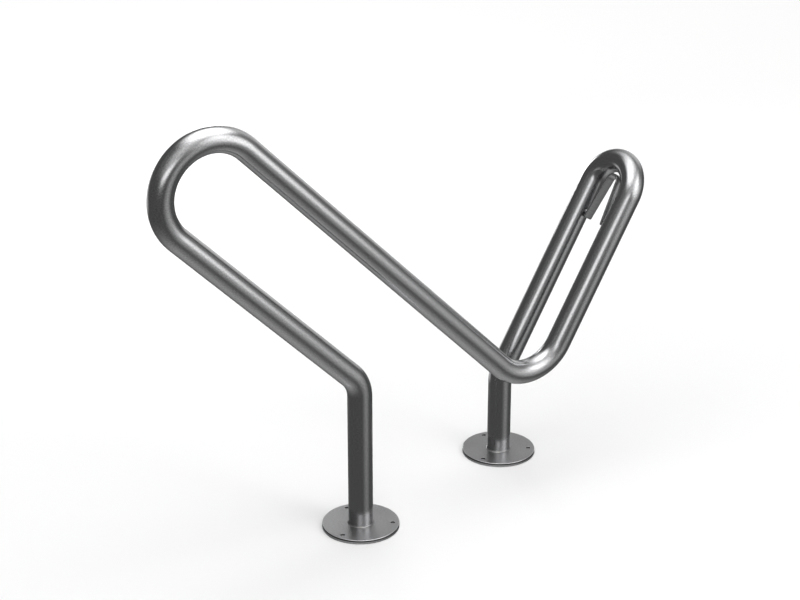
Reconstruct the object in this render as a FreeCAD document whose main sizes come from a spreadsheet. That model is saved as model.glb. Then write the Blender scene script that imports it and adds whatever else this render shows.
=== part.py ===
import FreeCAD, Part
import math
import os
import Sketcher

# A hoop bike rack: one tube bent into two hoops, bolted down on two round plates.
# X runs along the parked bicycle, Y across it and Z up. The origin is the centre of the
# underside of the plate below the tall lean hoop.

doc = FreeCAD.newDocument("hoop_bike_rack")

# The driving sizes: lengths in millimetres, angles in degrees
SIZES = {
    # The one tube
    "tube_diameter": 48.3,
    "tube_wall": 3.2,
    # Centreline radius where a post leans over
    "foot_bend": 68,
    # Lean hoop: height where the lean post starts to bend, slope above the ground,
    # straight length of the lower leg and centreline radius of the round end
    "lean_post_top": 282,
    "lean_angle": 45,
    "lean_leg": 492,
    "lean_hoop_bend": 100,
    # Valley between the hoops: lowest height and radius of its centreline
    "valley_height": 238,
    "valley_bend": 90,
    # Wheel hoop: slope above the ground, straight lengths of its legs and centreline
    # radius of the round end
    "wheel_angle": 60,
    "wheel_front_leg": 325,
    "wheel_rear_leg": 424,
    "wheel_hoop_bend": 60,
    # Base plates, with each bolt hole's centre in from the rim and the angle from X
    # to the first hole
    "plate_diameter": 152,
    "plate_thickness": 8,
    "plate_chamfer": 1,
    "bolt_hole": 9,
    "bolt_inset": 13,
    "bolt_count": 3,
    "bolt_turn": 85,
    # Leg of the fillet weld round a foot
    "foot_weld": 3,
    # Tyre strip: the flat bar, its straight legs and the radius inside its arch, the
    # middle of a leg's lower end in from the tube, the gap above the arch, how far
    # the strip sits behind the middle of the hoop, and its rounded lower corners
    "strip_width": 20,
    "strip_thickness": 4,
    "strip_leg": 92,
    "strip_bend": 13,
    "strip_clearance": 9,
    "strip_headroom": 4.5,
    "strip_setback": 3.5,
    "strip_corner": 3,
    # Studs that hold the strip, with their centre above the strip's lower end
    "stud_diameter": 12,
    "stud_height": 11,
}
sheet = doc.addObject("Spreadsheet::Sheet", "sizes")
for row, (alias, number) in enumerate(SIZES.items(), 1):
    sheet.set("A" + str(row), alias)
    sheet.set("B" + str(row), str(number))
    sheet.setAlias("B" + str(row), alias)
doc.recompute()


def read(alias):
    """The number that the sheet holds for a size."""
    return float(sheet.get(alias))


def turned(angle):
    """Unit vector in a sketch plane, at an angle in degrees from its X axis."""
    return FreeCAD.Vector(math.cos(math.radians(angle)), math.sin(math.radians(angle)), 0)


def origin_part(body, role):
    """One of a body's own origin planes or axes."""
    return next(part for part in body.Origin.OriginFeatures if part.Role == role)


def add_sketch(body, name, role, place=None):
    """A sketch on an origin plane of its own body, moved by place within that plane's frame."""
    sketch = body.newObject("Sketcher::SketchObject", name)
    sketch.AttachmentSupport = (origin_part(body, role), [""])
    sketch.MapMode = "FlatFace"
    if place is not None:
        sketch.AttachmentOffset = place
    return sketch


def bind(sketch, kind, where, number, expression, name):
    """A dimension of a sketch that follows the sheet."""
    index = sketch.addConstraint(Sketcher.Constraint(kind, *where, number))
    sketch.renameConstraint(index, name)
    sketch.setExpression("Constraints." + name, expression)


def bind_size(sketch, kind, where, alias):
    """A dimension of a sketch that is one of the sheet's sizes as it stands."""
    bind(sketch, kind, where, read(alias), "sizes." + alias, alias)


class Path:
    """A tube's centreline in a sketch: straight runs and the bends between them, in order."""

    def __init__(self, sketch, start, heading):
        self.sketch = sketch
        self.point = start
        self.heading = heading
        self.last = None

    def joined(self, item, near, far):
        """Joins a new piece to the last one so that the two stay tangent."""
        if self.last is not None:
            self.sketch.addConstraint(Sketcher.Constraint("Tangent", *self.last, item, near))
        self.last = (item, far)

    def run(self, length):
        """A straight run along the heading."""
        end = self.point + turned(self.heading) * length
        item = self.sketch.addGeometry(Part.LineSegment(self.point, end), False)
        self.joined(item, 1, 2)
        self.point = end
        return item

    def bend(self, radius, turn):
        """A bend by turn degrees, to the left when turn is positive."""
        side = math.copysign(90, turn)
        centre = self.point + turned(self.heading + side) * radius
        first = math.radians(self.heading - side)
        last = first + math.radians(turn)
        circle = Part.Circle(centre, FreeCAD.Vector(0, 0, 1), radius)
        arc = Part.ArcOfCircle(circle, min(first, last), max(first, last))
        item = self.sketch.addGeometry(arc, False)
        near, far = (1, 2) if turn > 0 else (2, 1)
        self.joined(item, near, far)
        self.heading += turn
        self.point = centre + turned(self.heading - side) * radius
        return item


def ring_section(body, name, place):
    """The tube's section, two circles square to the centreline."""
    sketch = add_sketch(body, name, "XY_Plane", place)
    outer = read("tube_diameter") / 2
    middle = FreeCAD.Vector(0, 0, 0)
    rims = (
        ("outer", outer, "sizes.tube_diameter / 2"),
        ("inner", outer - read("tube_wall"), "sizes.tube_diameter / 2 - sizes.tube_wall"),
    )
    for name_of_rim, radius, expression in rims:
        circle = Part.Circle(middle, FreeCAD.Vector(0, 0, 1), radius)
        item = sketch.addGeometry(circle, False)
        sketch.addConstraint(Sketcher.Constraint("Coincident", item, 3, -1, 1))
        bind(sketch, "Radius", (item,), radius, expression, name_of_rim)
    return sketch


def sweep(body, name, section, spine):
    """A length of tube: the section carried along the centreline."""
    pipe = body.newObject("PartDesign::AdditivePipe", name)
    pipe.Profile = section
    pipe.Spine = spine
    doc.recompute()
    return pipe


def draw_front_path(body):
    """Lean post, lean hoop, valley and the wheel hoop's front leg, all in the plane Y = 0.

    Returns the sketch and the place where the front leg ends."""
    foot = read("plate_thickness")
    slope = read("lean_angle")
    wheel_slope = read("wheel_angle")
    sketch = add_sketch(body, "front_path", "XZ_Plane")
    path = Path(sketch, FreeCAD.Vector(0, foot, 0), 90)
    post = path.run(read("lean_post_top") - foot)
    foot_bend = path.bend(read("foot_bend"), 90 - slope)
    lean_leg = path.run(read("lean_leg"))
    hoop_bend = path.bend(read("lean_hoop_bend"), -180)
    last_drop = read("valley_bend") * (1 - math.cos(math.radians(slope)))
    fall = path.point.y - read("valley_height") - last_drop
    long_leg = path.run(fall / math.sin(math.radians(slope)))
    valley_bend = path.bend(read("valley_bend"), slope + wheel_slope)
    wheel_leg = path.run(read("wheel_front_leg"))

    sketch.addConstraint(Sketcher.Constraint("PointOnObject", post, 1, -2))
    sketch.addConstraint(Sketcher.Constraint("Vertical", post))
    sketch.addConstraint(Sketcher.Constraint("Parallel", lean_leg, long_leg))
    bind_size(sketch, "DistanceY", (-1, 1, post, 1), "plate_thickness")
    bind_size(sketch, "DistanceY", (-1, 1, post, 2), "lean_post_top")
    bind_size(sketch, "Radius", (foot_bend,), "foot_bend")
    lean = math.radians(180 - slope)
    bind(sketch, "Angle", (lean_leg,), lean, "(180 - sizes.lean_angle) * 1deg", "lean_angle")
    bind_size(sketch, "Distance", (lean_leg,), "lean_leg")
    bind_size(sketch, "Radius", (hoop_bend,), "lean_hoop_bend")
    bind_size(sketch, "Radius", (valley_bend,), "valley_bend")
    valley_centre = read("valley_height") + read("valley_bend")
    above_ground = "sizes.valley_height + sizes.valley_bend"
    bind(sketch, "DistanceY", (-1, 1, valley_bend, 3), valley_centre, above_ground, "valley_centre")
    rise = math.radians(wheel_slope)
    bind(sketch, "Angle", (wheel_leg,), rise, "sizes.wheel_angle * 1deg", "wheel_angle")
    bind_size(sketch, "Distance", (wheel_leg,), "wheel_front_leg")
    return sketch, FreeCAD.Vector(path.point.x, 0, path.point.y)


def hoop_frame(front_top):
    """The wheel hoop's own frame: X across the hoop, Y along its legs, Z out of its plane, upward.

    Its origin is the centre of the hoop's round end."""
    slope = math.radians(read("wheel_angle"))
    along = FreeCAD.Vector(math.cos(slope), 0, math.sin(slope))
    across = FreeCAD.Vector(0, 1, 0)
    middle = front_top + across * read("wheel_hoop_bend")
    return FreeCAD.Placement(middle, FreeCAD.Rotation(across, along, across.cross(along), "ZXY"))


def draw_hoop_end(body, frame):
    """The wheel hoop's round end, which crosses from the front leg to the rear leg."""
    sketch = add_sketch(body, "hoop_end_path", "XY_Plane", frame)
    radius = read("wheel_hoop_bend")
    circle = Part.Circle(FreeCAD.Vector(), FreeCAD.Vector(0, 0, 1), radius)
    arc = sketch.addGeometry(Part.ArcOfCircle(circle, 0, math.pi), False)
    sketch.addConstraint(Sketcher.Constraint("Coincident", arc, 3, -1, 1))
    sketch.addConstraint(Sketcher.Constraint("PointOnObject", arc, 1, -1))
    sketch.addConstraint(Sketcher.Constraint("PointOnObject", arc, 2, -1))
    bind_size(sketch, "Radius", (arc,), "wheel_hoop_bend")
    return sketch


def draw_rear_path(body, front_top):
    """The wheel post and the rear leg, one hoop width behind the front leg.

    Returns the sketch and the place where the post stands on its plate."""
    foot = read("plate_thickness")
    bend = read("foot_bend")
    slope = read("wheel_angle")
    lean = 90 - slope
    leg_length = read("wheel_rear_leg")
    hoop_width = 2 * read("wheel_hoop_bend")
    bend_top = FreeCAD.Vector(front_top.x, front_top.z, 0) - turned(slope) * leg_length
    post_x = bend_top.x - bend * (1 - math.cos(math.radians(lean)))
    post_top = bend_top.y - bend * math.sin(math.radians(lean))
    behind = FreeCAD.Placement(FreeCAD.Vector(0, 0, -hoop_width), FreeCAD.Rotation())
    sketch = add_sketch(body, "rear_path", "XZ_Plane", behind)
    path = Path(sketch, FreeCAD.Vector(post_x, foot, 0), 90)
    post = path.run(post_top - foot)
    foot_bend = path.bend(bend, -lean)
    leg = path.run(leg_length)
    sketch.addConstraint(Sketcher.Constraint("Vertical", post))
    bind_size(sketch, "DistanceY", (-1, 1, post, 1), "plate_thickness")
    sketch.addConstraint(Sketcher.Constraint("DistanceX", -1, 1, leg, 2, front_top.x))
    sketch.addConstraint(Sketcher.Constraint("DistanceY", -1, 1, leg, 2, front_top.z))
    bind_size(sketch, "Radius", (foot_bend,), "foot_bend")
    rise = math.radians(slope)
    bind(sketch, "Angle", (leg,), rise, "sizes.wheel_angle * 1deg", "wheel_angle")
    bind_size(sketch, "Distance", (leg,), "wheel_rear_leg")
    return sketch, FreeCAD.Vector(post_x, hoop_width, foot)


def make_tube():
    """The rack's one tube, from the lean foot over both hoops to the wheel foot.

    Returns it with the frame of the wheel hoop and the place of the wheel foot."""
    body = doc.addObject("PartDesign::Body", "rack_tube")
    body.Label = "rack_tube"
    level = FreeCAD.Rotation()
    lean_foot = FreeCAD.Vector(0, 0, read("plate_thickness"))
    path, front_top = draw_front_path(body)
    ring = ring_section(body, "lean_foot_ring", FreeCAD.Placement(lean_foot, level))
    sweep(body, "front_run", ring, path)

    frame = hoop_frame(front_top)
    across = frame.Rotation.multVec(FreeCAD.Vector(1, 0, 0))
    along = frame.Rotation.multVec(FreeCAD.Vector(0, 1, 0))
    square = FreeCAD.Rotation(across, along.cross(across), along, "ZXY")
    path = draw_hoop_end(body, frame)
    ring = ring_section(body, "hoop_end_ring", FreeCAD.Placement(front_top, square))
    sweep(body, "hoop_end", ring, path)

    path, wheel_foot = draw_rear_path(body, front_top)
    ring = ring_section(body, "wheel_foot_ring", FreeCAD.Placement(wheel_foot, level))
    sweep(body, "rear_run", ring, path)
    return body, frame, wheel_foot


def make_plate(label, place):
    """A round base plate with bolt holes near its rim and a chamfered top edge."""
    body = doc.addObject("PartDesign::Body", label)
    body.Label = label
    sketch = add_sketch(body, "outline", "XY_Plane")
    radius = read("plate_diameter") / 2
    disc = sketch.addGeometry(Part.Circle(FreeCAD.Vector(), FreeCAD.Vector(0, 0, 1), radius), False)
    sketch.addConstraint(Sketcher.Constraint("Coincident", disc, 3, -1, 1))
    bind(sketch, "Radius", (disc,), radius, "sizes.plate_diameter / 2", "rim")
    pad = body.newObject("PartDesign::Pad", "plate")
    pad.Profile = sketch
    pad.setExpression("Length", "sizes.plate_thickness")
    doc.recompute()

    spot = turned(read("bolt_turn")) * (radius - read("bolt_inset"))
    hole_radius = read("bolt_hole") / 2
    sketch = add_sketch(body, "bolt_hole_place", "XY_Plane")
    hole = sketch.addGeometry(Part.Circle(spot, FreeCAD.Vector(0, 0, 1), hole_radius), False)
    bind(sketch, "Radius", (hole,), hole_radius, "sizes.bolt_hole / 2", "hole")
    spoke = sketch.addGeometry(Part.LineSegment(FreeCAD.Vector(), spot), True)
    sketch.addConstraint(Sketcher.Constraint("Coincident", spoke, 1, -1, 1))
    sketch.addConstraint(Sketcher.Constraint("Coincident", spoke, 2, hole, 3))
    inset = "sizes.plate_diameter / 2 - sizes.bolt_inset"
    bind(sketch, "Distance", (spoke,), spot.Length, inset, "bolt_circle")
    turn = math.radians(read("bolt_turn"))
    bind(sketch, "Angle", (spoke,), turn, "sizes.bolt_turn * 1deg", "bolt_turn")
    pocket = body.newObject("PartDesign::Pocket", "bolt_hole")
    pocket.Profile = sketch
    pocket.Type = "ThroughAll"
    pocket.Reversed = True
    doc.recompute()
    pattern = body.newObject("PartDesign::PolarPattern", "bolt_holes")
    pattern.Originals = [pocket]
    pattern.Axis = (origin_part(body, "Z_Axis"), [""])
    pattern.Angle = 360
    pattern.setExpression("Occurrences", "sizes.bolt_count")
    body.Tip = pattern
    doc.recompute()

    # The rim's top edge is the one wide edge that lies wholly above the plate's middle
    middle = read("plate_thickness") / 2
    edges = [
        "Edge" + str(index)
        for index, edge in enumerate(pattern.Shape.Edges, 1)
        if edge.BoundBox.ZMin > middle and edge.BoundBox.XLength > radius
    ]
    chamfer = body.newObject("PartDesign::Chamfer", "rim_chamfer")
    chamfer.Base = (pattern, edges)
    chamfer.setExpression("Size", "sizes.plate_chamfer")
    body.Tip = chamfer
    body.Placement = FreeCAD.Placement(place, FreeCAD.Rotation())
    doc.recompute()
    return body


def make_foot_weld(label, place):
    """The fillet weld that runs round a post where it stands on its plate."""
    body = doc.addObject("PartDesign::Body", label)
    body.Label = label
    sketch = add_sketch(body, "weld_section", "XZ_Plane")
    inner = read("tube_diameter") / 2
    leg = read("foot_weld")
    corner = FreeCAD.Vector(inner, 0, 0)
    toe = FreeCAD.Vector(inner + leg, 0, 0)
    head = FreeCAD.Vector(inner, leg, 0)
    for start, end in ((corner, toe), (toe, head), (head, corner)):
        sketch.addGeometry(Part.LineSegment(start, end), False)
    sketch.addConstraint(Sketcher.Constraint("Coincident", 0, 2, 1, 1))
    sketch.addConstraint(Sketcher.Constraint("Coincident", 1, 2, 2, 1))
    sketch.addConstraint(Sketcher.Constraint("Coincident", 2, 2, 0, 1))
    sketch.addConstraint(Sketcher.Constraint("PointOnObject", 0, 1, -1))
    sketch.addConstraint(Sketcher.Constraint("Horizontal", 0))
    sketch.addConstraint(Sketcher.Constraint("Vertical", 2))
    bind(sketch, "DistanceX", (-1, 1, 0, 1), inner, "sizes.tube_diameter / 2", "tube_radius")
    bind(sketch, "DistanceX", (0, 1, 0, 2), leg, "sizes.foot_weld", "toe")
    bind(sketch, "DistanceY", (2, 2, 2, 1), leg, "sizes.foot_weld", "head")
    ring = body.newObject("PartDesign::Revolution", "weld_ring")
    ring.Profile = sketch
    ring.ReferenceAxis = (sketch, ["V_Axis"])
    ring.Angle = 360
    body.Placement = FreeCAD.Placement(place, FreeCAD.Rotation())
    doc.recompute()
    return body


def arch_centre():
    """Centre of the tyre strip's arch in the wheel hoop's frame."""
    tube_above = read("wheel_hoop_bend") - read("tube_diameter") / 2
    strip_top = tube_above - read("strip_headroom")
    height = strip_top - read("strip_thickness") - read("strip_bend")
    return FreeCAD.Vector(0, height, read("strip_setback"))


def strip_splay():
    """Angle by which a strip leg opens from the hoop's leg, so that its end clears the tube."""
    radius = read("strip_bend") + read("strip_thickness") / 2
    mouth = read("wheel_hoop_bend") - read("tube_diameter") / 2 - read("strip_clearance")
    reach = math.hypot(radius, read("strip_leg"))
    return math.degrees(math.asin(mouth / reach) - math.atan(radius / read("strip_leg")))


def draw_strip_path(body):
    """The strip's middle line: a leg, the arch and the other leg. Also returns where it starts."""
    splay = strip_splay()
    radius = read("strip_bend") + read("strip_thickness") / 2
    centre = arch_centre()
    arch = FreeCAD.Vector(centre.x, centre.y, 0)
    start = arch + turned(splay) * radius - turned(90 + splay) * read("strip_leg")
    sketch = add_sketch(body, "strip_path", "XY_Plane")
    path = Path(sketch, start, 90 + splay)
    far_leg = path.run(read("strip_leg"))
    bend = path.bend(radius, 180 - 2 * splay)
    near_leg = path.run(read("strip_leg"))
    sketch.addConstraint(Sketcher.Constraint("PointOnObject", bend, 3, -2))
    sketch.addConstraint(Sketcher.Constraint("Symmetric", far_leg, 1, near_leg, 2, -2))
    arch_height = (
        "sizes.wheel_hoop_bend - sizes.tube_diameter / 2 - sizes.strip_headroom"
        " - sizes.strip_thickness - sizes.strip_bend"
    )
    bind(sketch, "DistanceY", (-1, 1, bend, 3), arch.y, arch_height, "arch_height")
    middle_radius = "sizes.strip_bend + sizes.strip_thickness / 2"
    bind(sketch, "Radius", (bend,), radius, middle_radius, "strip_bend")
    bind_size(sketch, "Distance", (far_leg,), "strip_leg")
    half_mouth = "sizes.wheel_hoop_bend - sizes.tube_diameter / 2 - sizes.strip_clearance"
    bind(sketch, "DistanceX", (-1, 1, far_leg, 1), start.x, half_mouth, "half_mouth")
    return sketch, start


def draw_strip_section(body, start):
    """The flat bar's section, square to the strip's far leg at its lower end."""
    thick = turned(strip_splay())
    upright = FreeCAD.Vector(0, 0, 1)
    square = FreeCAD.Rotation(thick, upright, thick.cross(upright), "ZXY")
    section = add_sketch(body, "strip_section", "XY_Plane", FreeCAD.Placement(start, square))
    half_thick = read("strip_thickness") / 2
    half_width = read("strip_width") / 2
    corners = [
        FreeCAD.Vector(-half_thick, -half_width, 0),
        FreeCAD.Vector(half_thick, -half_width, 0),
        FreeCAD.Vector(half_thick, half_width, 0),
        FreeCAD.Vector(-half_thick, half_width, 0),
    ]
    for first, second in zip(corners, corners[1:] + corners[:1]):
        section.addGeometry(Part.LineSegment(first, second), False)
    for side, direction in enumerate(("Horizontal", "Vertical", "Horizontal", "Vertical")):
        following = (side + 1) % len(corners)
        section.addConstraint(Sketcher.Constraint("Coincident", side, 2, following, 1))
        section.addConstraint(Sketcher.Constraint(direction, side))
    section.addConstraint(Sketcher.Constraint("Symmetric", 0, 1, 2, 1, -1, 1))
    bind_size(section, "Distance", (0,), "strip_thickness")
    bind_size(section, "Distance", (1,), "strip_width")
    return section


def make_tyre_strip(frame):
    """A flat bar bent to an arch inside the wheel hoop, wider at its mouth, to wedge a tyre."""
    body = doc.addObject("PartDesign::Body", "tyre_strip")
    body.Label = "tyre_strip"
    path, start = draw_strip_path(body)
    bar = sweep(body, "bent_bar", draw_strip_section(body, start), path)

    # The four corners at the lower ends, whose edges run through the bar, are rounded
    across_bar = (read("strip_thickness") + read("strip_width")) / 2
    above_end = start.y + read("strip_thickness")
    ends = [
        "Edge" + str(index)
        for index, edge in enumerate(bar.Shape.Edges, 1)
        if edge.BoundBox.YMax < above_end and edge.Length < across_bar
    ]
    soft = body.newObject("PartDesign::Fillet", "soft_corners")
    soft.Base = (bar, ends)
    soft.setExpression("Radius", "sizes.strip_corner")
    body.Tip = soft
    setback = FreeCAD.Placement(FreeCAD.Vector(0, 0, read("strip_setback")), FreeCAD.Rotation())
    body.Placement = frame.multiply(setback)
    doc.recompute()
    return body


def make_strip_stud(label, side, frame):
    """A short stud between one strip leg and the tube, its outer end coped to the tube."""
    splay = strip_splay()
    outward = turned(splay)
    outer_face = read("strip_bend") + read("strip_thickness")
    below_arch = read("strip_leg") - read("stud_height")
    seat = arch_centre() + outward * outer_face - turned(90 + splay) * below_arch
    to_tube_middle = (read("wheel_hoop_bend") - seat.x) / outward.x
    seat.x *= side
    outward.x *= side
    stud = doc.addObject("Part::Cylinder", label + "_bar")
    stud.setExpression("Radius", "sizes.stud_diameter / 2")
    stud.Height = to_tube_middle
    axis = FreeCAD.Rotation(FreeCAD.Vector(0, 0, 1), outward)
    stud.Placement = frame.multiply(FreeCAD.Placement(seat, axis))

    leg = doc.addObject("Part::Cylinder", label + "_cope")
    leg.setExpression("Radius", "sizes.tube_diameter / 2")
    leg.setExpression("Height", "sizes.wheel_front_leg")
    bottom = FreeCAD.Vector(side * read("wheel_hoop_bend"), -read("wheel_front_leg"), 0)
    up_leg = FreeCAD.Rotation(FreeCAD.Vector(0, 0, 1), FreeCAD.Vector(0, 1, 0))
    leg.Placement = frame.multiply(FreeCAD.Placement(bottom, up_leg))
    coped = doc.addObject("Part::Cut", label)
    coped.Base = stud
    coped.Tool = leg
    coped.Label = label
    doc.recompute()
    return coped


rack_tube, wheel_hoop, wheel_foot = make_tube()
plate_top = FreeCAD.Vector(0, 0, read("plate_thickness"))
parts = [
    rack_tube,
    make_plate("lean_base_plate", FreeCAD.Vector()),
    make_plate("wheel_base_plate", wheel_foot - plate_top),
    make_foot_weld("lean_foot_weld", plate_top),
    make_foot_weld("wheel_foot_weld", wheel_foot),
    make_tyre_strip(wheel_hoop),
    make_strip_stud("near_strip_stud", -1, wheel_hoop),
    make_strip_stud("far_strip_stud", 1, wheel_hoop),
]
doc.recompute()
for item in doc.Objects:
    if "Invalid" in item.State or "Error" in item.State:
        raise RuntimeError(item.Name + " did not build: " + ", ".join(item.State))
for part in parts:
    if part.Shape.isNull() or not part.Shape.isValid():
        raise RuntimeError(part.Label + " has no valid shape")

os.makedirs("parts", exist_ok=True)
for part in parts:
    part.Shape.exportStep("parts/" + part.Label + ".step")
    print(part.Label, round(part.Shape.Volume), "cubic millimetres")
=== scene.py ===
import math

import bmesh
import bpy
from mathutils import Matrix, Vector


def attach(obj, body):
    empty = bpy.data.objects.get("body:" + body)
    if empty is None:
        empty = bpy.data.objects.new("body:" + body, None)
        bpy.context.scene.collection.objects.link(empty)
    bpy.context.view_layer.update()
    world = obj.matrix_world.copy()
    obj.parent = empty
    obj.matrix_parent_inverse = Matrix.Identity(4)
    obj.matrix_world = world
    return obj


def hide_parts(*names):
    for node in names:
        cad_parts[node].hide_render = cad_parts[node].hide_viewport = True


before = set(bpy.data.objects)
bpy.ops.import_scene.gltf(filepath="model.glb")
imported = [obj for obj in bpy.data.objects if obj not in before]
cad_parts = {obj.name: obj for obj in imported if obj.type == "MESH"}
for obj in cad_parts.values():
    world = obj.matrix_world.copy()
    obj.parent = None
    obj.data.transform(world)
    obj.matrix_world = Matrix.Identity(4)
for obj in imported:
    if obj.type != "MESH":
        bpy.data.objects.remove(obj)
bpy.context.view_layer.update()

# The tube: one length of 48.3 mm pipe in 304 stainless steel, drawn round a mandrel into the
# lean hoop, the valley and the wheel hoop, then polished to a satin with a belt that ran
# round it. Both ends stand on the base plates. Sizes here and below are in metres.
TUBE_RADIUS = 0.02415
PLATE_TOP = 0.008
FOOT_BEND = 0.068
LEAN_POST_TOP = 0.282
LEAN_SLOPE = math.radians(45)
LEAN_LEG = 0.492
LEAN_HOOP_BEND = 0.100
VALLEY_HEIGHT = 0.238
VALLEY_BEND = 0.090
WHEEL_SLOPE = math.radians(60)
WHEEL_FRONT_LEG = 0.325
WHEEL_REAR_LEG = 0.424
WHEEL_HOOP_BEND = 0.060
TUBE_SIDES = 72
BEND_STEP = math.radians(2.5)
EDGE_RING = 0.001


class Route:
    """A bent bar's centreline, kept as a station for each ring of its mesh."""

    def __init__(self, point, heading, side):
        self.point, self.heading, self.side = Vector(point), Vector(heading), Vector(side)
        self.travelled = 0.0
        self.stations = []
        self.mark()

    def mark(self):
        """Keeps the present place as a station."""
        place = (self.point.copy(), self.heading.copy(), self.side.copy(), self.travelled)
        self.stations.append(place)

    def run(self, length, insets=(EDGE_RING,)):
        """Goes straight ahead. Rings set in from either end keep its shading straight."""
        start, travelled = self.point, self.travelled
        far_insets = [length - inset for inset in reversed(insets)]
        for distance in (*insets, *far_insets, length):
            self.point = start + self.heading * distance
            self.travelled = travelled + distance
            self.mark()

    def bend(self, radius, turn, axis):
        """Turns right-handed about an axis, on a centreline of the given radius."""
        inward = axis.cross(self.heading)
        centre = self.point + inward * radius
        heading, side = self.heading, self.side
        steps = math.ceil(turn / BEND_STEP)
        for step in range(1, steps + 1):
            rotation = Matrix.Rotation(turn * step / steps, 3, axis)
            self.point = centre - rotation @ inward * radius
            self.heading = rotation @ heading
            self.side = rotation @ side
            self.travelled += radius * turn / steps
            self.mark()


def piece_from(mesh, name):
    """Turns a finished mesh into an object of the scene, with its faces outwards."""
    bmesh.ops.recalc_face_normals(mesh, faces=mesh.faces)
    data = bpy.data.meshes.new(name)
    mesh.to_mesh(data)
    mesh.free()
    piece = bpy.data.objects.new(name, data)
    bpy.context.collection.objects.link(piece)
    return piece


def sweep(name, stations, outline_at):
    """A closed mesh skinned over stations. Its UVs are metres along and metres round it."""
    mesh = bmesh.new()
    surface = mesh.loops.layers.uv.new("surface")
    rings = []
    for point, heading, side, travelled in stations:
        across = heading.cross(side)
        outline = outline_at(travelled)
        rings.append([mesh.verts.new(point + side * a + across * b) for a, b in outline])
    count = len(rings[0])
    spans = [(Vector(outline[k]) - Vector(outline[k - 1])).length for k in range(count)]
    round_it = [sum(spans[1:k + 1]) for k in range(count)] + [sum(spans)]
    for near, far, start, end in zip(rings, rings[1:], stations, stations[1:]):
        for k in range(count):
            following = (k + 1) % count
            face = mesh.faces.new((near[k], near[following], far[following], far[k]))
            corners = ((start, k), (start, k + 1), (end, k + 1), (end, k))
            for loop, (station, place) in zip(face.loops, corners):
                loop[surface].uv = (station[3], round_it[place])
            face.smooth = True
    for ring in (rings[0], rings[-1]):
        end_face = mesh.faces.new(ring)
        for edge in end_face.edges:
            edge.smooth = False
    piece = piece_from(mesh, name)
    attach(piece, "root")
    return piece


ACROSS = Vector((0, 1, 0))
route = Route((0, 0, PLATE_TOP), (0, 0, 1), ACROSS)
route.run(LEAN_POST_TOP - PLATE_TOP)
route.bend(FOOT_BEND, math.pi / 2 - LEAN_SLOPE, -ACROSS)
route.run(LEAN_LEG)
route.bend(LEAN_HOOP_BEND, math.pi, ACROSS)
last_drop = VALLEY_BEND * (1 - math.cos(LEAN_SLOPE))
route.run((route.point.z - VALLEY_HEIGHT - last_drop) / math.sin(LEAN_SLOPE))
route.bend(VALLEY_BEND, LEAN_SLOPE + WHEEL_SLOPE, -ACROSS)
route.run(WHEEL_FRONT_LEG)
hoop_middle = route.point + ACROSS * WHEEL_HOOP_BEND
along_hoop = route.heading.copy()
out_of_hoop = ACROSS.cross(along_hoop)
route.bend(WHEEL_HOOP_BEND, math.pi, -out_of_hoop)
route.run(WHEEL_REAR_LEG)
route.bend(FOOT_BEND, math.pi / 2 - WHEEL_SLOPE, -ACROSS)
route.run(route.point.z - PLATE_TOP)
wheel_foot = route.point.copy()

turns = [2 * math.pi * k / TUBE_SIDES for k in range(TUBE_SIDES)]
tube_ring = [(TUBE_RADIUS * math.cos(t), TUBE_RADIUS * math.sin(t)) for t in turns]
tube = sweep("hoop_tube", route.stations, lambda travelled: tube_ring)
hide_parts("rack_tube")


def linear(hex_code):
    """The linear colour of an sRGB hex value."""
    parts = [int(hex_code[k:k + 2], 16) / 255 for k in (0, 2, 4)]
    return [c / 12.92 if c <= 0.04045 else ((c + 0.055) / 1.055) ** 2.4 for c in parts] + [1.0]


def add_node(tree, kind, *inputs, **settings):
    """Adds a node. Inputs come in order or by name, each a value or another node's socket."""
    node = tree.nodes.new(kind)
    for name in [name for name in settings if hasattr(node, name)]:
        setattr(node, name, settings.pop(name))
    sockets = [socket for socket in node.inputs if socket.enabled]
    pairs = list(zip(sockets, inputs))
    pairs += [(node.inputs[name.replace("_", " ")], value) for name, value in settings.items()]
    for socket, value in pairs:
        if isinstance(value, bpy.types.NodeSocket):
            tree.links.new(value, socket)
        elif value is not None:
            socket.default_value = value
    return node


def spread(tree, noise, low, high):
    """Spreads a noise, which keeps mostly between 0.3 and 0.7, over a range of its own."""
    return add_node(tree, "ShaderNodeMapRange", noise, 0.3, 0.7, low, high).outputs["Result"]


def new_metal(name):
    """A metal material, with its node tree and its shader."""
    metal = bpy.data.materials.new(name)
    metal.use_nodes = True
    shader = metal.node_tree.nodes["Principled BSDF"]
    shader.inputs["Metallic"].default_value = 1.0
    return metal, metal.node_tree, shader


# Satin polished 304 stainless: a cool mid grey that mirrors the studio a little softly. The
# belt's grit leaves short lines round the tube, 0.3 mm apart and a few millimetres long. They
# are drawn at 1.6 mm, so that they show as a fine grain. Hands and weather leave faint duller
# patches some 40 mm wide.
satin, tree, shader = new_metal("satin_polished_stainless")
place = add_node(tree, "ShaderNodeUVMap", uv_map="surface").outputs["UV"]
stretched = add_node(
    tree, "ShaderNodeMapping", place, None, None, (1 / 0.0016, 1 / 0.004, 1)
).outputs["Vector"]
lines = add_node(
    tree, "ShaderNodeTexNoise", Vector=stretched, Scale=1.0, Detail=2.0, Roughness=0.6
).outputs["Fac"]
grain = spread(tree, lines, 0.0, 1.0)
colour = add_node(
    tree, "ShaderNodeMix", grain, linear("a2a2a3"), linear("c0c0c1"), data_type="RGBA"
).outputs["Result"]
tree.links.new(colour, shader.inputs["Base Color"])
here = add_node(tree, "ShaderNodeTexCoord").outputs["Object"]
patches = add_node(
    tree, "ShaderNodeTexNoise", Vector=here, Scale=1 / 0.04, Detail=3.0, Roughness=0.55
).outputs["Fac"]
dull = spread(tree, patches, 0.15, 0.20)
tree.links.new(dull, shader.inputs["Roughness"])
relief = add_node(tree, "ShaderNodeBump", Height=lines, Strength=1.0, Distance=0.00006)
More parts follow.
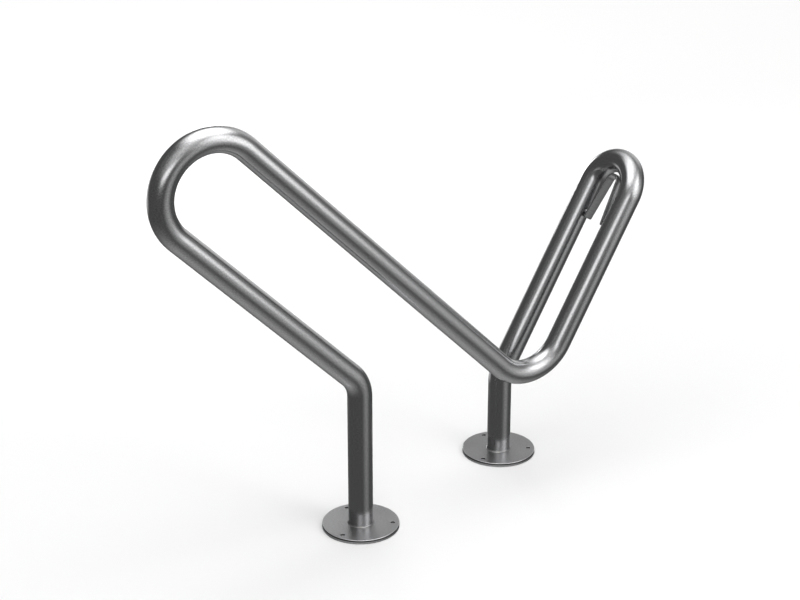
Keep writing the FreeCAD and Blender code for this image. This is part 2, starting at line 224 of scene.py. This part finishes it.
tree.links.new(relief.outputs["Normal"], shader.inputs["Normal"])
tube.data.materials.append(satin)

# The base plates: 8 mm stainless discs, cut by laser from sheet with a brushed face, with
# three bolt holes each. The rim's top edge is rounded by 1 mm so that it can't catch a hand
# or a tyre, and the holes' edges have only their burr taken off.
PLATE_RADIUS = 0.076
PLATE_EDGE = 0.001
BOLT_RADIUS = 0.0045
BOLT_CIRCLE = 0.063
BOLT_COUNT = 3
BOLT_TURN = math.radians(85)
BURR = 0.0003
RIM_SIDES = 192
HOLE_SIDES = 32
ROUND_STEPS = 5


def plate_wall(mesh, middle, radius, rounding, sides):
    """The wall of a disc or hole, its top edge rounded inwards, or outwards if negative."""
    round_turns = [math.pi / 2 * step / ROUND_STEPS for step in range(ROUND_STEPS + 1)]
    profile = [(radius, 0.0)]
    for turn in round_turns:
        inward = rounding * (1 - math.cos(turn))
        drop = abs(rounding) * (1 - math.sin(turn))
        profile.append((radius - inward, PLATE_TOP - drop))
    rings = []
    for reach, height in profile:
        turns = [2 * math.pi * k / sides for k in range(sides)]
        corners = [Vector((reach * math.cos(t), reach * math.sin(t), height)) for t in turns]
        rings.append([mesh.verts.new(middle + corner) for corner in corners])
    for low, high in zip(rings, rings[1:]):
        for k in range(sides):
            following = (k + 1) % sides
            mesh.faces.new((low[k], low[following], high[following], high[k])).smooth = True
    return [mesh.edges.get((ring[k - 1], ring[k])) for ring in (rings[0], rings[-1])
            for k in range(sides)]


def base_plate(name, foot, node):
    """A round plate with bolt holes near its rim, under a foot."""
    mesh = bmesh.new()
    below_foot = foot - Vector((0, 0, PLATE_TOP))
    borders = plate_wall(mesh, below_foot, PLATE_RADIUS, PLATE_EDGE, RIM_SIDES)
    for bolt in range(BOLT_COUNT):
        turn = BOLT_TURN + 2 * math.pi * bolt / BOLT_COUNT
        spot = below_foot + BOLT_CIRCLE * Vector((math.cos(turn), math.sin(turn), 0))
        borders += plate_wall(mesh, spot, BOLT_RADIUS, -BURR, HOLE_SIDES)
    for height in (0.0, PLATE_TOP):
        level_edges = [edge for edge in borders if abs(edge.verts[0].co.z - height) < BURR / 2]
        bmesh.ops.triangle_fill(mesh, edges=level_edges, use_beauty=True)
    plate = piece_from(mesh, name)
    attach(plate, "root")
    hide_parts(node)
    return plate


# Brushed sheet: short lines run straight across the face, 0.3 mm apart and drawn at 1.8 mm so
# that they show as a grain, and foot traffic has dulled it in patches. The laser leaves fine
# upright lines down the rim and a dark skin of oxide. The rounded edge between them carries a
# painted highlight: a pale colour set by the tilt of its surface draws a thin bright line round
# the plate and its holes.
plate_steel, tree, shader = new_metal("laser_cut_brushed_stainless")
here = add_node(tree, "ShaderNodeTexCoord").outputs["Object"]
facing = add_node(tree, "ShaderNodeNewGeometry").outputs["Normal"]
upright = add_node(tree, "ShaderNodeSeparateXYZ", facing).outputs["Z"]
level = add_node(tree, "ShaderNodeMath", upright, operation="ABSOLUTE").outputs["Value"]
cut_face_and_painted_edge = add_node(tree, "ShaderNodeValToRGB", level)
rim_tone, face_tone = cut_face_and_painted_edge.color_ramp.elements
rim_tone.position = 0.15
rim_tone.color = linear("626160")
face_tone.position = 0.99
face_tone.color = linear("b4b4b5")
# Painted highlight: where the surface tilts between rim and face, on the rounded edges, the colour
# turns pale.
for painted_highlight_at in (0.35, 0.94):
    cut_face_and_painted_edge.color_ramp.elements.new(painted_highlight_at).color = linear("e6e6e7")
on_face = add_node(tree, "ShaderNodeMapRange", level, 0.2, 0.4, 0.0, 1.0).outputs["Result"]
brush_place = add_node(
    tree, "ShaderNodeMapping", here, None, None, (1 / 0.004, 1 / 0.0018, 1)
).outputs["Vector"]
brushed = add_node(
    tree, "ShaderNodeTexNoise", Vector=brush_place, Scale=1.0, Detail=2.0, Roughness=0.6
).outputs["Fac"]
cut_place = add_node(
    tree, "ShaderNodeMapping", here, None, None, (1 / 0.0009, 1 / 0.0009, 1 / 0.02)
).outputs["Vector"]
cut = add_node(
    tree, "ShaderNodeTexNoise", Vector=cut_place, Scale=1.0, Detail=1.0, Roughness=0.5
).outputs["Fac"]
marks = add_node(tree, "ShaderNodeMix", on_face, cut, brushed, data_type="FLOAT").outputs["Result"]
relief = add_node(tree, "ShaderNodeBump", Height=marks, Strength=1.0, Distance=0.00007)
tree.links.new(relief.outputs["Normal"], shader.inputs["Normal"])
grain = spread(tree, marks, 0.0, 1.0)
grained = add_node(
    tree, "ShaderNodeMix", grain, linear("dededf"), linear("ffffff"), data_type="RGBA"
).outputs["Result"]
colour = add_node(
    tree, "ShaderNodeMix", 1.0, cut_face_and_painted_edge.outputs["Color"], grained, data_type="RGBA",
    blend_type="MULTIPLY",
).outputs["Result"]
tree.links.new(colour, shader.inputs["Base Color"])
smears = add_node(
    tree, "ShaderNodeTexNoise", Vector=here, Scale=1 / 0.05, Detail=3.0, Roughness=0.6
).outputs["Fac"]
dull = spread(tree, smears, 0.30, 0.38)
tree.links.new(dull, shader.inputs["Roughness"])
lean_foot = Vector((0, 0, PLATE_TOP))
for name, foot, node in (
    ("lean_plate_disc", lean_foot, "lean_base_plate"),
    ("wheel_plate_disc", wheel_foot, "wheel_base_plate"),
):
    base_plate(name, foot, node).data.materials.append(plate_steel)

# The foot welds: a 3 mm fillet run round each post with a filler rod, then ground and polished
# hollow until it flows from the post into the plate. Only a trace of its ripples is left,
# about 2 mm apart. It sits in the corner between post and plate.
BEAD_LEG = 0.003
RIPPLE_PITCH = 0.0021
RIPPLE_HEIGHT = 0.00003
RIPPLE_BOW = 1.2
RIPPLE_FALL = 0.7
RIPPLE_STEPS = 6
BEAD_ROWS = 9


def weld_bead(name, foot, node):
    """A hollow fillet round a post, as a closed ring. Its ripples bow and fall off backwards."""
    ripples = round(2 * math.pi * (TUBE_RADIUS + BEAD_LEG / 2) / RIPPLE_PITCH)
    slices = ripples * RIPPLE_STEPS
    mesh = bmesh.new()
    rings = []
    for k in range(slices):
        angle = 2 * math.pi * k / slices
        outward = Vector((math.cos(angle), math.sin(angle), 0))
        rows = []
        for row in range(BEAD_ROWS):
            part = row / (BEAD_ROWS - 1)
            crescent = k / RIPPLE_STEPS + RIPPLE_BOW * (part - 0.5) ** 2
            ripple = (1 - crescent % 1.0) ** RIPPLE_FALL
            hollow = BEAD_LEG - RIPPLE_HEIGHT * ripple * math.sin(math.pi * part)
            turn = math.pi / 2 * part
            reach = TUBE_RADIUS + BEAD_LEG - hollow * math.cos(turn)
            height = BEAD_LEG - hollow * math.sin(turn)
            rows.append(mesh.verts.new(foot + outward * reach + Vector((0, 0, height))))
        rows.append(mesh.verts.new(foot + outward * TUBE_RADIUS))
        rings.append(rows)
    for near, far in zip(rings, rings[1:] + rings[:1]):
        for row in range(BEAD_ROWS + 1):
            following = (row + 1) % (BEAD_ROWS + 1)
            face = mesh.faces.new((near[row], near[following], far[following], far[row]))
            face.smooth = row < BEAD_ROWS - 1
    bead = piece_from(mesh, name)
    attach(bead, "root")
    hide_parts(node)
    return bead


# Polished weld metal: softer and greyer than the steel on either side of it, with a faint
# straw and blue heat tint, so that the foot shows no bright seam from a step away.
weld_steel, tree, shader = new_metal("polished_stainless_weld")
here = add_node(tree, "ShaderNodeTexCoord").outputs["Object"]
mottle = add_node(
    tree, "ShaderNodeTexNoise", Vector=here, Scale=1 / 0.004, Detail=3.0, Roughness=0.6
).outputs["Fac"]
tint = add_node(tree, "ShaderNodeValToRGB", mottle)
blue_tone, straw_tone = tint.color_ramp.elements
blue_tone.position = 0.35
blue_tone.color = linear("8e8e91")
straw_tone.position = 0.65
straw_tone.color = linear("989794")
tree.links.new(tint.outputs["Color"], shader.inputs["Base Color"])
dull = spread(tree, mottle, 0.28, 0.36)
tree.links.new(dull, shader.inputs["Roughness"])
for name, foot, node in (
    ("lean_weld_bead", lean_foot, "lean_foot_weld"),
    ("wheel_weld_bead", wheel_foot, "wheel_foot_weld"),
):
    weld_bead(name, foot, node).data.materials.append(weld_steel)

# The tyre strip: 20 by 4 mm flat bar in the same steel, bent to an arch inside the wheel
# hoop with its legs splayed, so that a tyre wedges between them. Its long edges are rounded
# by 0.6 mm in rolling, and the corners of its ends by 3 mm with a file.
STRIP_WIDTH = 0.020
STRIP_THICKNESS = 0.004
STRIP_LEG = 0.092
STRIP_BEND = 0.013
STRIP_CLEARANCE = 0.009
STRIP_HEADROOM = 0.0045
STRIP_SETBACK = 0.0035
STRIP_CORNER = 0.003
STRIP_EDGE = 0.0006
CORNER_STEPS = 6
EDGE_STEPS = 4


def in_hoop(angle):
    """A direction in the wheel hoop's plane, at an angle from straight across it."""
    return ACROSS * math.cos(angle) + along_hoop * math.sin(angle)


def bar_outline(travelled):
    """The flat bar's section, drawn in where the corners of its ends are rounded."""
    from_end = min(travelled, strip_length - travelled)
    missing = max(STRIP_CORNER - from_end, 0)
    drawn_in = STRIP_CORNER - math.sqrt(STRIP_CORNER**2 - missing**2)
    half_width = STRIP_WIDTH / 2 - drawn_in - STRIP_EDGE
    half_thick = STRIP_THICKNESS / 2 - STRIP_EDGE
    outline = []
    for quarter, (a, b) in enumerate(((1, 1), (-1, 1), (-1, -1), (1, -1))):
        for step in range(EDGE_STEPS + 1):
            angle = math.pi / 2 * (quarter + step / EDGE_STEPS)
            round_a, round_b = STRIP_EDGE * math.cos(angle), STRIP_EDGE * math.sin(angle)
            outline.append((a * half_width + round_a, b * half_thick + round_b))
    return outline


arch_radius = STRIP_BEND + STRIP_THICKNESS / 2
mouth = WHEEL_HOOP_BEND - TUBE_RADIUS - STRIP_CLEARANCE
splay = math.asin(mouth / math.hypot(arch_radius, STRIP_LEG)) - math.atan(arch_radius / STRIP_LEG)
arch_rise = mouth + STRIP_CLEARANCE - STRIP_HEADROOM - STRIP_THICKNESS - STRIP_BEND
arch = hoop_middle + along_hoop * arch_rise + out_of_hoop * STRIP_SETBACK
leg_up = in_hoop(math.pi / 2 + splay)
leg_end = arch + in_hoop(splay) * arch_radius - leg_up * STRIP_LEG
corner_turns = [math.pi / 2 * step / CORNER_STEPS for step in range(1, CORNER_STEPS + 1)]
corner_rings = [STRIP_CORNER * (1 - math.cos(turn)) for turn in corner_turns]
route = Route(leg_end, leg_up, out_of_hoop)
route.run(STRIP_LEG, corner_rings)
route.bend(arch_radius, math.pi - 2 * splay, out_of_hoop)
route.run(STRIP_LEG, corner_rings)
strip_length = route.travelled
strip = sweep("tyre_strip_bar", route.stations, bar_outline)
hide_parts("tyre_strip")

# Rolled flat stainless: duller than the tube, with the fine pebbled skin that pickling
# leaves after rolling.
rolled, tree, shader = new_metal("rolled_flat_stainless")
shader.inputs["Base Color"].default_value = linear("b2b2b3")
here = add_node(tree, "ShaderNodeTexCoord").outputs["Object"]
pebbles = add_node(
    tree, "ShaderNodeTexNoise", Vector=here, Scale=1 / 0.002, Detail=4.0, Roughness=0.6
).outputs["Fac"]
dull = spread(tree, pebbles, 0.24, 0.34)
tree.links.new(dull, shader.inputs["Roughness"])
relief = add_node(tree, "ShaderNodeBump", Height=pebbles, Strength=0.2, Distance=0.00003)
tree.links.new(relief.outputs["Normal"], shader.inputs["Normal"])
strip.data.materials.append(rolled)

# The strip's studs: two short 12 mm round bars, turned square where the strip is welded on
# and coped to the tube at the other end. Turning leaves fine rings round them.
turned, tree, shader = new_metal("turned_stainless")
shader.inputs["Base Color"].default_value = linear("b2b2b3")
here = add_node(tree, "ShaderNodeTexCoord").outputs["Object"]
rings_place = add_node(
    tree, "ShaderNodeMapping", here, None, None, (1 / 0.02, 1 / 0.0004, 1 / 0.02)
).outputs["Vector"]
rings = add_node(
    tree, "ShaderNodeTexNoise", Vector=rings_place, Scale=1.0, Detail=1.0, Roughness=0.5
).outputs["Fac"]
dull = spread(tree, rings, 0.22, 0.30)
tree.links.new(dull, shader.inputs["Roughness"])
relief = add_node(tree, "ShaderNodeBump", Height=rings, Strength=0.3, Distance=0.00003)
tree.links.new(relief.outputs["Normal"], shader.inputs["Normal"])
for name in ("near_strip_stud", "far_strip_stud"):
    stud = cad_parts[name]
    stud.data.materials.clear()
    stud.data.materials.append(turned)

# The studio floor: white paper that keeps the rack's soft shadow. The lights reach it fully
# round LIT_MIDDLE and less towards LIT_REACH, so the camera sees it lifted to white by an
# amount that grows on the way. The steel doesn't mirror the paper but the studio below it,
# which the world holds, and the paper doesn't shade the rack from that studio's light.
SWEEP = 40.0
LIT_MIDDLE = (0.2, -0.4, 0.0)
LIT_REACH = 2.75
LIFT_NEAR = 0.0
LIFT_FAR = 0.36
data = bpy.data.meshes.new("studio_sweep")
half = SWEEP / 2
data.from_pydata(
    [(-half, -half, 0), (half, -half, 0), (half, half, 0), (-half, half, 0)], [], [(0, 1, 2, 3)]
)
floor = bpy.data.objects.new("studio_sweep", data)
bpy.context.collection.objects.link(floor)
floor.visible_shadow = False
paper = bpy.data.materials.new("white_paper_sweep")
paper.use_nodes = True
tree = paper.node_tree
tree.nodes.clear()
ray = add_node(tree, "ShaderNodeLightPath")
matt = add_node(tree, "ShaderNodeBsdfDiffuse", linear("ebebeb")).outputs["BSDF"]
here = add_node(tree, "ShaderNodeTexCoord").outputs["Object"]
spot = add_node(
    tree, "ShaderNodeMapping", here, LIT_MIDDLE, None, (LIT_REACH, LIT_REACH, LIT_REACH),
    vector_type="TEXTURE",
).outputs["Vector"]
lit = add_node(tree, "ShaderNodeTexGradient", spot, gradient_type="SPHERICAL").outputs["Fac"]
lift = add_node(
    tree, "ShaderNodeMapRange", lit, 0.0, 1.0, LIFT_FAR, LIFT_NEAR, interpolation_type="SMOOTHSTEP"
).outputs["Result"]
glow = add_node(tree, "ShaderNodeEmission", Strength=lift).outputs["Emission"]
lifted = add_node(tree, "ShaderNodeAddShader", matt, glow).outputs["Shader"]
seen = add_node(
    tree, "ShaderNodeMixShader", ray.outputs["Is Camera Ray"], matt, lifted
).outputs["Shader"]
mirrored = add_node(
    tree, "ShaderNodeMath", ray.outputs["Is Glossy Ray"], ray.outputs["Is Transmission Ray"],
    operation="MAXIMUM",
).outputs["Value"]
clear = add_node(tree, "ShaderNodeBsdfTransparent").outputs["BSDF"]
sweep_look = add_node(tree, "ShaderNodeMixShader", mirrored, seen, clear).outputs["Shader"]
add_node(tree, "ShaderNodeOutputMaterial", sweep_look)
data.materials.append(paper)

# The softboxes: round ones, bright in the middle and fading out to the rim, aimed at the
# rack. Each has its place, its two radii, its roll, the share of its radius over which it
# fades and its level. They add their light and stop none.
AIM = Vector((0.11, -0.11, 0.45))
BOX_SIDES = 48
SOFTBOXES = {
    # Right over the rack: the light along the crown of every run.
    "overhead_softbox": ((0.1, 0.0, 1.65), 0.95, 0.9, 87, 0.8, 2.4),
    # To the camera's right: the broad light on the hoops' sides.
    "right_softbox": ((1.05, -1.55, 1.2), 1.2, 1.45, 16, 0.8, 1.4),
    # Beside the camera: it fills the sides that the camera sees.
    "front_softbox": ((-1.8, -2.5, 1.55), 0.85, 1.7, -89, 0.8, 1.45),
    # A small bright one behind the rack: the thin light along the far edges.
    "back_softbox": ((0.8, 2.3, 0.7), 0.32, 0.5, 30, 0.76, 7.4),
}


def softbox(name, place, wide, tall, roll, fading, level):
    """A flat round panel that glows on both faces, most in its middle."""
    data = bpy.data.meshes.new(name)
    turns = [2 * math.pi * k / BOX_SIDES for k in range(BOX_SIDES)]
    rim = [(math.cos(turn), math.sin(turn), 0) for turn in turns]
    data.from_pydata(rim, [], [range(BOX_SIDES)])
    box = bpy.data.objects.new(name, data)
    bpy.context.collection.objects.link(box)
    box.location = place
    facing = (AIM - Vector(place)).to_track_quat("-Z", "Y").to_matrix()
    box.rotation_euler = (facing @ Matrix.Rotation(math.radians(roll), 3, "Z")).to_euler()
    box.scale = (wide, tall, 1)
    box.visible_camera = False
    box.visible_shadow = False
    cloth = bpy.data.materials.new(name + "_cloth")
    cloth.use_nodes = True
    tree = cloth.node_tree
    tree.nodes.clear()
    here = add_node(tree, "ShaderNodeTexCoord").outputs["Object"]
    middle = add_node(tree, "ShaderNodeTexGradient", here, gradient_type="SPHERICAL").outputs["Fac"]
    fade = add_node(
        tree, "ShaderNodeMapRange", middle, 0.0, fading, 0.0, level,
        interpolation_type="SMOOTHSTEP",
    ).outputs["Result"]
    glow = add_node(tree, "ShaderNodeEmission", Strength=fade).outputs["Emission"]
    clear = add_node(tree, "ShaderNodeBsdfTransparent").outputs["BSDF"]
    both = add_node(tree, "ShaderNodeAddShader", glow, clear).outputs["Shader"]
    add_node(tree, "ShaderNodeOutputMaterial", both)
    data.materials.append(cloth)


for name, settings in SOFTBOXES.items():
    softbox(name, *settings)

# The paper lamps: small round lamps between the softboxes, shaded so that they light the
# paper alone. They deepen the rack's shadows and add nothing to the steel. Each has its place
# and its power in watts.
PAPER_LAMPS = {
    "overhead_paper_lamp": ((0.1, 0.0, 1.4), 1.2),
    "right_paper_lamp": ((0.9, -1.75, 1.25), 3.0),
    "front_paper_lamp": ((-1.05, -1.45, 1.45), 2.5),
}
PAPER_LAMP_WIDTH = 0.5
LAMP_TARGET = Vector((0.2, 0.05, 0.0))
paper_only = bpy.data.collections.new("paper_only")
paper_only.objects.link(floor)
for name, (place, power) in PAPER_LAMPS.items():
    light = bpy.data.lights.new(name, "AREA")
    light.shape = "DISK"
    light.size = PAPER_LAMP_WIDTH
    light.energy = power
    lamp = bpy.data.objects.new(name, light)
    bpy.context.collection.objects.link(lamp)
    lamp.location = place
    lamp.rotation_euler = (LAMP_TARGET - Vector(place)).to_track_quat("-Z", "Y").to_euler()
    lamp.light_linking.receiver_collection = paper_only
    lamp.visible_glossy = False

# The studio round it, which the steel mirrors: dim walls, and the glow that the softboxes
# spread over them and over the ceiling. The camera sees it white. Each patch is given by its
# angle from the camera's side (counter-clockwise) and its height, both in degrees, its roll,
# how far it spreads across and up, how soft its edge is and its level.
WALLS = 0.12
CAMERA_SIDE = -122.06
PATCHES = [
    # The back wall to the right, above the rack.
    (151, 25, -85, 0.49, 0.72, 0.95, 0.78),
    # Straight below: the glow of the paper at the rack's feet.
    (-8, -92, 52, 1.02, 0.96, 1.0, 0.45),
    # The ceiling over the camera, with hardly any glow.
    (-11, 79, 32, 1.3, 0.87, 0.23, 0.07),
    # The wall to the camera's right, at the height of a window.
    (63, 31, 45, 0.62, 0.3, 0.93, 1.1),
    # The wide glow over the camera's right shoulder.
    (28, 53, 30, 1.6, 1.0, 1.0, 0.86),
    # The back wall to the left, near the floor.
    (-167, -8, -15, 1.14, 0.24, 0.42, 0.72),
    # The right wall at the level of the rack.
    (74, -2, 35, 0.98, 0.59, 1.0, 0.69),
    # The ceiling behind the rack, where the light is strongest.
    (177, 71, 35, 0.57, 0.85, 1.0, 1.73),
]
world = bpy.data.worlds.new("studio")
bpy.context.scene.world = world
world.use_nodes = True
tree = world.node_tree
backdrop = tree.nodes["Background"]
direction = add_node(tree, "ShaderNodeTexCoord").outputs["Generated"]
level = WALLS
for azimuth, height, roll, wide, tall, soft, glow in PATCHES:
    turn = Matrix.Rotation(math.radians(azimuth + CAMERA_SIDE), 3, "Z")
    tilt = Matrix.Rotation(math.radians(-height), 3, "Y")
    spin = Matrix.Rotation(math.radians(roll), 3, "X")
    pose = turn @ tilt @ spin
    place = add_node(
        tree, "ShaderNodeMapping", direction, pose.col[0], pose.to_euler(), (1, wide, tall),
        vector_type="TEXTURE",
    ).outputs["Vector"]
    middle = add_node(
        tree, "ShaderNodeTexGradient", place, gradient_type="SPHERICAL"
    ).outputs["Fac"]
    patch = add_node(
        tree, "ShaderNodeMapRange", middle, 0.0, soft, 0.0, glow, interpolation_type="SMOOTHSTEP"
    ).outputs["Result"]
    level = add_node(tree, "ShaderNodeMath", patch, level, operation="ADD").outputs["Value"]
to_camera = add_node(tree, "ShaderNodeLightPath").outputs["Is Camera Ray"]
strength = add_node(tree, "ShaderNodeMix", to_camera, level, 1.0, data_type="FLOAT")
backdrop.inputs["Color"].default_value = (1, 1, 1, 1)
tree.links.new(strength.outputs["Result"], backdrop.inputs["Strength"])

# The camera stands where the photographer stood: left of the rack's middle, above it, with a
# long lens. Its lens and sensor are in millimetres and its dip below the level in degrees.
LENS = 90.09
SENSOR = 36
CAMERA_PLACE = (-1.7695, -2.9704, 1.9457)
CAMERA_DIP = 22.96
view = bpy.data.cameras.new("photo_view")
view.lens = LENS
view.sensor_width = SENSOR
camera = bpy.data.objects.new("photo_view", view)
bpy.context.collection.objects.link(camera)
camera.location = CAMERA_PLACE
camera.rotation_euler = (math.radians(90 - CAMERA_DIP), 0, math.radians(CAMERA_SIDE + 90))
bpy.context.scene.camera = camera
bpy.context.scene.view_settings.view_transform = "Standard"
